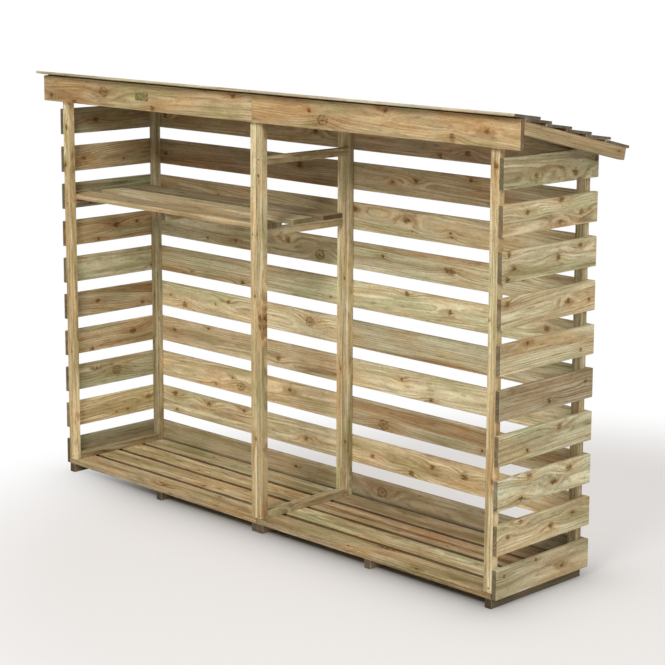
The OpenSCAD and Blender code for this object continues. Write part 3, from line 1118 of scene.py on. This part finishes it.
@dataclass
class BackWall(TimberWork):
    """Slats of the back."""

    nodes: tuple[str, ...] = ("back_slats_left", "back_slats_right")
    finish: TimberFinish = TimberFinish("back_slat_timber", "treated_boards", ring_depth=0.85, streak_depth=0.75,
                                        heart_depth=0.85, stain_depth=0.75)


@dataclass
class Fascia(TimberWork):
    """Boards across the front under the roof."""

    nodes: tuple[str, ...] = ("fascia_left", "fascia_right")
    finish: TimberFinish = TimberFinish("fascia_timber", "treated_boards", ring_depth=0.65, streak_depth=0.8,
                                        heart_depth=0.9, stain_depth=1.2)


@dataclass
class Rafters(TimberWork):
    """Rafters under the roof, and the barge rafters outside the sides."""

    nodes: tuple[str, ...] = ("barge_rafter_left", "barge_rafter_right", "side_rafter_left", "side_rafter_right",
                              "centre_rafter_left", "centre_rafter_right")
    finish: TimberFinish = TimberFinish("rafter_timber", "treated_posts", ring_spacing=0.006)
    tones: tuple[Tone, ...] = (Tone.TAN, Tone.STRAW)


@dataclass
class Roof(TimberWork):
    """Lapped roof boards."""

    nodes: tuple[str, ...] = tuple(f"roof_course_{course}" for course in range(1, 7))
    finish: TimberFinish = TimberFinish("roof_timber", "roof_boards", stain_depth=0.8, end_depth=1.0,
                                        end_shade="928e9a")
    tones: tuple[Tone, ...] = (Tone.ASH, Tone.OLIVE, Tone.DRAB)
    warp: float = 0.0002
    ease: float = 0.0008


@dataclass(frozen=True)
class Fixing:
    """Boards of one node, the timbers that they are nailed to, and the places of the nails over a board's width.

    Head is the radius of a nail's head in metres.
    """

    node: str
    onto: tuple[str, ...]
    rows: tuple[float, ...] = (-0.56, 0.56)
    head: float = 0.0017


def post_fixing(side: str, *rails: str) -> Fixing:
    """One large nail through a front post into each of its rails."""
    return Fixing("front_post_" + side, rails, (0.0,), POST_HEAD)


@dataclass
class Nails:
    """Nail heads where boards cross the timbers that carry them.

    Stray is how far a nail is driven off its place, and taper the width of its head's face as a share of its rim.
    """

    finish: MetalFinish = MetalFinish("nail_steel", "4c4843", "2c2621", 0.5, 400.0)
    shank: float = 0.004
    proud: float = 0.0005
    stray: float = 0.004
    taper: float = 0.8
    sides: int = 10
    fixings: tuple[Fixing, ...] = (
        Fixing("deck_left", ("bearer_left_end", "bearer_left_middle", "bearer_left_inner")),
        Fixing("deck_right", ("bearer_right_inner", "bearer_right_middle", "bearer_right_end")),
        post_fixing("left", "bottom_rail_left", "shelf_rail_left"),
        post_fixing("left_inner", "shelf_rail_centre"),
        post_fixing("right_inner", "bottom_rail_centre", "top_rail_centre"),
        post_fixing("right", "bottom_rail_right"),
        Fixing("side_slats_left", ("front_post_left", "back_post_left")),
        Fixing("side_slats_right", ("front_post_right", "back_post_right")),
        Fixing("back_slats_left", ("back_post_left", "back_post_left_inner")),
        Fixing("back_slats_right", ("back_post_right_inner", "back_post_right")),
        *(Fixing(board, ("shelf_rail_left", "shelf_batten", "shelf_rail_centre")) for board in Shelf.nodes),
        Fixing("fascia_left", ("front_post_left", "front_post_left_inner")),
        Fixing("fascia_right", ("front_post_right_inner", "front_post_right")),
        *(Fixing(course, ("barge_rafter_left", "side_rafter_left", "centre_rafter_left", "centre_rafter_right",
                          "side_rafter_right", "barge_rafter_right"), (0.6,)) for course in Roof.nodes),
    )

    def build(self, boards: dict[str, list[Board]]) -> None:
        """Drive the nails and make one object of their heads.

        Args:
            boards: the boards of each node.
        """
        bm = bmesh.new()
        for fixing in self.fixings:
            pick = seed_for("nails", fixing.node)
            for board in boards[fixing.node]:
                for under in fixing.onto:
                    low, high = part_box(under)
                    self.drive(bm, board, board.local((low + high) / 2.0), fixing, pick)
        made = new_object("nails", bm)
        made.data.materials.append(self.finish.material())
        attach(made, BODY)
        LOG.info("nails: %d faces, %s", len(made.data.polygons), self.finish.name)

    def drive(self, bm: bmesh.types.BMesh, board: Board, under: Vector, fixing: Fixing,
              pick: random.Random) -> None:
        """Drive the nails that hold one board to one timber.

        Args:
            bm: mesh of the nails.
            board: the board.
            under: middle of the timber, as a place in the board.
            fixing: places and size of the nails.
            pick: where the stray of each nail comes from.
        """
        if abs(under.x) > board.half.x:
            return
        side = -1.0 if under.z > 0.0 else 1.0
        turn = (board.through * side).to_track_quat("Z", "Y").to_matrix().to_4x4()
        for row in fixing.rows:
            x = under.x + pick.uniform(-self.stray, self.stray)
            y = row * board.half.y + pick.uniform(-self.stray, self.stray)
            place = board.place(x, y, side * (board.half.z + self.proud - self.shank / 2.0))
            bmesh.ops.create_cone(bm, cap_ends=True, cap_tris=False, segments=self.sides, radius1=fixing.head,
                                  radius2=fixing.head * self.taper, depth=self.shank,
                                  matrix=Matrix.Translation(place) @ turn)


@dataclass
class Plate:
    """Small blank plate on the left half of the fascia."""

    finish: MetalFinish = MetalFinish("plate_brass", "97925a", "665724", 0.3, 130.0)
    size: tuple[float, float, float] = (0.0735, 0.003, 0.0295)
    sunk: float = 0.001
    height: float = 0.051
    ease: float = 0.0005

    def build(self) -> None:
        """Make the plate, half let into the board."""
        low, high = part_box("fascia_left")
        middle = Vector(((low.x + high.x) / 2.0, low.y + self.sunk - self.size[1] / 2.0, low.z + self.height))
        bm = bmesh.new()
        bmesh.ops.create_cube(bm, size=1.0, matrix=Matrix.Translation(middle) @ Matrix.Diagonal((*self.size, 1.0)))
        bmesh.ops.bevel(bm, geom=bm.edges[:], offset=self.ease, offset_type="OFFSET", segments=2, profile=0.5,
                        affect="EDGES", clamp_overlap=True, material=-1)
        made = new_object("plate", bm)
        made.data.materials.append(self.finish.material())
        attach(made, BODY)
        LOG.info("plate: %d faces, %s", len(made.data.polygons), self.finish.name)


@dataclass(frozen=True)
class Lamp:
    """A square soft lamp: where it hangs as seen from the store, and how much it lights a face turned to it."""

    name: str
    azimuth: float
    elevation: float
    distance: float
    side: float
    level: float

    def hang(self, aim: Vector) -> None:
        """Make the lamp.

        Args:
            aim: the point that it is turned to.
        """
        turn, rise = math.radians(self.azimuth), math.radians(self.elevation)
        way = Vector((math.sin(turn) * math.cos(rise), -math.cos(turn) * math.cos(rise), math.sin(rise)))
        lamp = bpy.data.lights.new(self.name, "AREA")
        lamp.size = self.side
        lamp.energy = (math.pi * self.distance) ** 2 * self.level
        made = bpy.data.objects.new(self.name, lamp)
        made.location = aim + way * self.distance
        made.rotation_mode = "QUATERNION"
        made.rotation_quaternion = (-way).to_track_quat("-Z", "Y")
        bpy.context.scene.collection.objects.link(made)


@dataclass
class Studio:
    """Pale floor, soft light and the camera."""

    floor_side: float = 60.0
    floor_middle: tuple[float, float] = (0.92, 0.04)
    fade: tuple[float, float] = (1.41, 2.41)
    floor_paint: str = "efebe8"
    floor_glow: float = 0.7
    floor_rough: float = 0.9
    floor_gloss: float = 0.1
    # Depth, reach and inset of the painted contact shadow in the floor's paint round the deck
    contact_depth: float = 1.0
    contact_reach: float = 0.10
    contact_inset: float = 0.045
    dome_low: float = 0.31
    dome_high: float = 0.34
    dome_rise: tuple[float, float] = (-0.1, 0.8)
    aim: tuple[float, float, float] = (0.0, 0.0, 0.7)
    lamps: tuple[Lamp, ...] = (
        Lamp("key", 22.0, 37.0, 8.0, 2.3, 0.60),
        Lamp("side", 82.0, 28.0, 7.0, 3.0, 0.28),
    )
    camera_place: tuple[float, float, float] = (4.8715, -4.4684, 2.1488)
    azimuth: float = 45.123
    elevation: float = 9.992
    roll: float = 0.207
    focal: float = 1890.561
    shift_up: float = -0.1
    farthest: float = 200.0

    def build(self) -> None:
        """Make the floor, the world, the lamps and the camera."""
        self.make_floor()
        self.make_world()
        for lamp in self.lamps:
            lamp.hang(Vector(self.aim))
        self.make_camera()

    def make_floor(self) -> None:
        """Make a floor that fades to white away from the store.

        The camera sees a share of it as plain paint with a painted shadow where it meets the store, and the rest as
        lit.
        """
        bm = bmesh.new()
        bmesh.ops.create_grid(bm, x_segments=4, y_segments=4, size=self.floor_side / 2.0)
        floor = new_object("floor", bm)
        made, g, shader = new_material("studio_floor")
        place = g.add("TexCoord").outputs["Object"]
        way = g.vector("LENGTH", g.vector("SUBTRACT", place, (*self.floor_middle, 0.0)))
        # Painted contact shadow: the paint that the camera sees darkens towards the deck's outline
        low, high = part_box("deck_left")[0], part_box("deck_right")[1]
        inner = (high - low) / 2.0 - Vector((self.contact_inset, self.contact_inset, 0.0))
        aside = g.vector("ABSOLUTE", g.vector("SUBTRACT", place, ((low + high) / 2.0)[:]))
        beyond = g.vector("MAXIMUM", g.vector("SUBTRACT", aside, inner[:]), (0.0, 0.0, 0.0))
        clear = g.vector("LENGTH", g.vector("MULTIPLY", beyond, (1.0, 1.0, 0.0)))
        near = g.math("EXPONENT", g.math("DIVIDE", clear, -self.contact_reach))
        glow = g.mix(g.line(near, -self.contact_depth, 1.0), BLACK, screen(self.floor_paint))
        g.feed(shader["Base Color"], screen(self.floor_paint))
        g.feed(shader["Roughness"], self.floor_rough)
        g.feed(shader["Specular IOR Level"], self.floor_gloss)
        white = g.add("Emission")
        far = g.smooth(way, *self.fade)
        g.feed(white.inputs["Color"], g.mix(far, glow, WHITE))
        share = g.line(far, 1.0 - self.floor_glow, self.floor_glow)
        seen = g.times(share, g.add("LightPath").outputs["Is Camera Ray"])
        g.blend(seen, made.node_tree.nodes["Principled BSDF"], white, made.node_tree.nodes["Material Output"])
        floor.data.materials.append(made)

    def make_world(self) -> None:
        """Make a dome of light that is strongest overhead, which the camera sees as white."""
        world = bpy.data.worlds.new("studio_dome")
        world.use_nodes = True
        bpy.context.scene.world = world
        g = Graph(world.node_tree)
        path = g.add("LightPath").outputs
        seen = g.math("MAXIMUM", path["Is Camera Ray"],
                      g.math("MAXIMUM", path["Is Glossy Ray"], path["Is Transmission Ray"]))
        up = g.parts(g.add("TexCoord").outputs["Generated"])[2]
        dome, white = world.node_tree.nodes["Background"], g.add("Background")
        for light in (dome, white):
            g.feed(light.inputs["Color"], WHITE)
        g.feed(dome.inputs["Strength"], g.mix_value(g.smooth(up, *self.dome_rise), self.dome_low, self.dome_high))
        g.blend(seen, dome, white, world.node_tree.nodes["World Output"])

    def make_camera(self) -> None:
        """Stand the camera where the photograph was taken from, measured from the front of the posts."""
        lens = bpy.data.cameras.new("camera")
        lens.sensor_width = SENSOR
        lens.lens = self.focal / PHOTO_SIDE * SENSOR
        lens.shift_y = self.shift_up
        camera = bpy.data.objects.new("camera", lens)
        bpy.context.scene.collection.objects.link(camera)
        turn, tip, roll = (math.radians(a) for a in (self.azimuth, self.elevation, self.roll))
        ahead = Vector((-math.sin(turn) * math.cos(tip), math.cos(turn) * math.cos(tip), -math.sin(tip)))
        side = Vector((math.cos(turn), math.sin(turn), 0.0))
        up = side.cross(ahead)
        side, up = side * math.cos(roll) + up * math.sin(roll), up * math.cos(roll) - side * math.sin(roll)
        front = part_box("front_post_right")[0].y
        place = Vector(self.camera_place) + Vector((0.0, front, 0.0))
        camera.matrix_world = Matrix.Translation(place) @ Matrix((side, up, -ahead)).transposed().to_4x4()
        lens.clip_end = self.farthest
        bpy.context.scene.camera = camera


def main() -> None:
    """Build and dress the store from the ground up, then the studio."""
    logging.basicConfig(level=logging.INFO, format="%(name)s: %(message)s")
    bpy.context.scene.view_settings.view_transform = "Standard"
    effects = TimberEffects()
    boards: dict[str, list[Board]] = {}
    for work in (Base(), Deck(), PostFrame(), Shelf(), SideWalls(), BackWall(), Fascia(), Rafters(), Roof()):
        work.build()
        work.dress(effects)
        boards.update(work.boards)
    Nails().build(boards)
    Plate().build()
    Studio().build()


if __name__ == "__main__":
    main()
